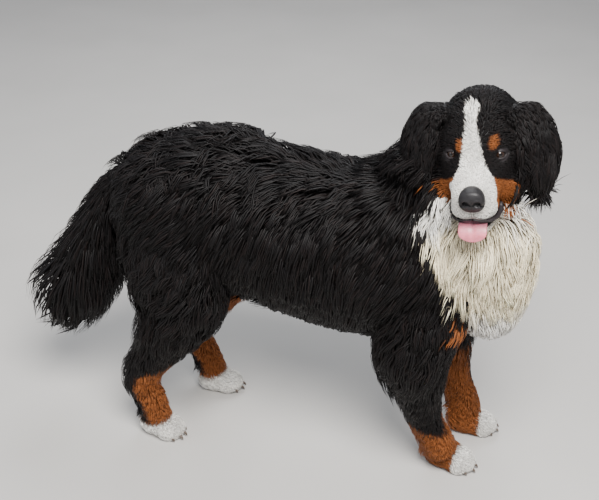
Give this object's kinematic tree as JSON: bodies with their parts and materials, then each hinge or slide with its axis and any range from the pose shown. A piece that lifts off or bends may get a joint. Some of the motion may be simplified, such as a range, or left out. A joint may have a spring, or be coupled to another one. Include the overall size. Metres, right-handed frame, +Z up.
{
  "type": "bernese mountain dog",
  "caption": "Life-size standing Bernese mountain dog with a long black coat, rust and white markings and its head turned to the side.",
  "frame": {"origin": "on the floor under the middle of the whole, coat included", "axes": "+X the way the body faces, +Y the dog's left, +Z up"},
  "size_m": [1.1804, 0.4244, 0.9105],
  "materials": {
    "coat_black": "long, slightly wavy black hair with a soft shine",
    "coat_rust": "rust-brown hair, shorter and matt",
    "coat_white": "warm white hair, matt",
    "nose": "moist black pebbled skin",
    "tongue": "moist pink",
    "eye": "dark brown under a clear, wet surface"
  },
  "bodies": {
    "root": {"eye_left": "eye", "eye_right": "eye", "nose": "nose", "tongue": "tongue", "head": "coat_black", "lower_jaw": "coat_white", "ear_left": "coat_black", "ear_right": "coat_black", "torso": "coat_black", "neck": "coat_black", "bib": "coat_white", "tail_base": "coat_black", "tail_end": "coat_black", "foreleg_right_paw": "coat_white", "foreleg_right_lower": "coat_rust", "foreleg_right_upper": "coat_black", "foreleg_left_paw": "coat_white", "foreleg_left_lower": "coat_rust", "foreleg_left_upper": "coat_black", "hindleg_right_paw": "coat_white", "hindleg_right_lower": "coat_rust", "hindleg_right_upper": "coat_black", "hindleg_left_paw": "coat_white", "hindleg_left_lower": "coat_rust", "hindleg_left_upper": "coat_black"}
  },
  "joints": []
}
